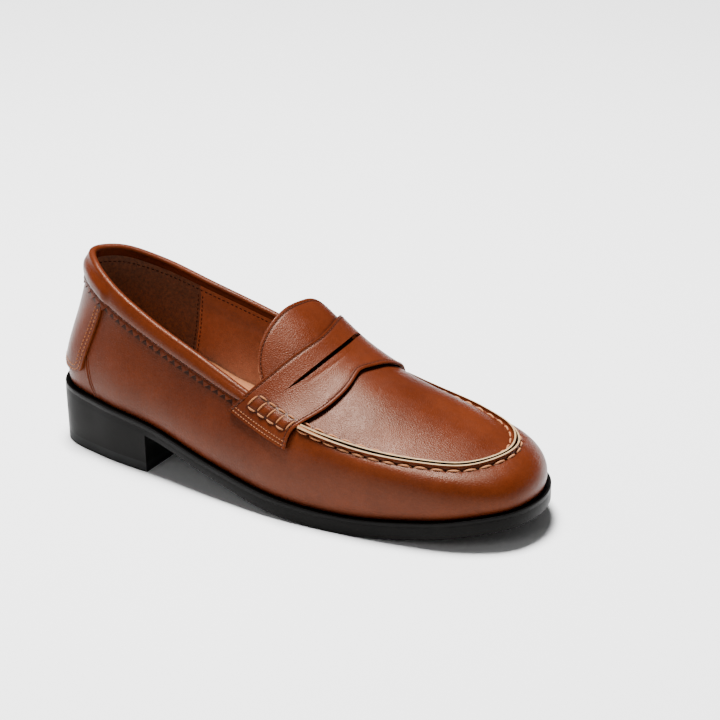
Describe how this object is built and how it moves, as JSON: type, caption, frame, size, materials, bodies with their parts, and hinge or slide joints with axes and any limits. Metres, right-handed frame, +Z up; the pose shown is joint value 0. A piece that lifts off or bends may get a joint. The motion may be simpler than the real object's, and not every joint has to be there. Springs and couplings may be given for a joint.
{
  "type": "penny loafer",
  "caption": "Slip-on penny loafer for the right foot: moccasin apron seam, notched saddle strap with a slot, pinked collar, heel tab, low black heel.",
  "frame": {"origin": "on the ground, under the middle of the sole's length and width", "axes": "+X towards the toe, +Y towards the medial (inner) side of this right shoe, +Z up"},
  "size_m": [0.2571, 0.0954, 0.0934],
  "materials": {
    "upper_leather": "polished cognac calf leather, fine grain, soft satin gloss, raw cream-tan cut edges",
    "strap_leather": "the same cognac leather, with tan thread in its stitching",
    "collar_leather": "thin cognac leather, rolled over the top edge, pinked along its outer edge",
    "lining_leather": "dark red-brown smooth lining leather",
    "grip_suede": "dark olive-brown suede, matte",
    "sock_leather": "tan lining leather, matte",
    "sole_rubber": "black rubber, satin",
    "heel_stack": "black heel block, satin, smooth sides",
    "welt_black": "black welt, satin",
    "cork_filler": "pressed cork, matte",
    "board": "fibre board, matte",
    "foam": "open foam, matte",
    "shank_steel": "spring steel strip, brushed",
    "nail_steel": "bright steel wire"
  },
  "bodies": {
    "root": {"heel_top_piece": "sole_rubber", "heel_block": "heel_stack", "outsole": "sole_rubber", "welt": "welt_black", "shank": "shank_steel", "bottom_filler": "cork_filler", "seat_filler": "cork_filler", "insole_board": "board", "heel_pad": "foam", "sock_lining": "sock_leather", "vamp": "upper_leather", "apron": "upper_leather", "tongue": "upper_leather", "saddle_strap": "strap_leather", "heel_quarter": "upper_leather", "backstay": "upper_leather", "collar": "collar_leather", "tongue_lining": "lining_leather", "apron_lining": "lining_leather", "vamp_lining": "lining_leather", "quarter_lining_lateral": "lining_leather", "quarter_lining_medial": "lining_leather", "heel_grip_lining": "grip_suede", "heel_counter": "board", "toe_puff": "board", "heel_nail_1": "nail_steel", "heel_nail_2": "nail_steel", "heel_nail_3": "nail_steel", "heel_nail_4": "nail_steel", "heel_nail_5": "nail_steel", "shank_rivet_1": "nail_steel", "shank_rivet_2": "nail_steel"}
  },
  "joints": []
}
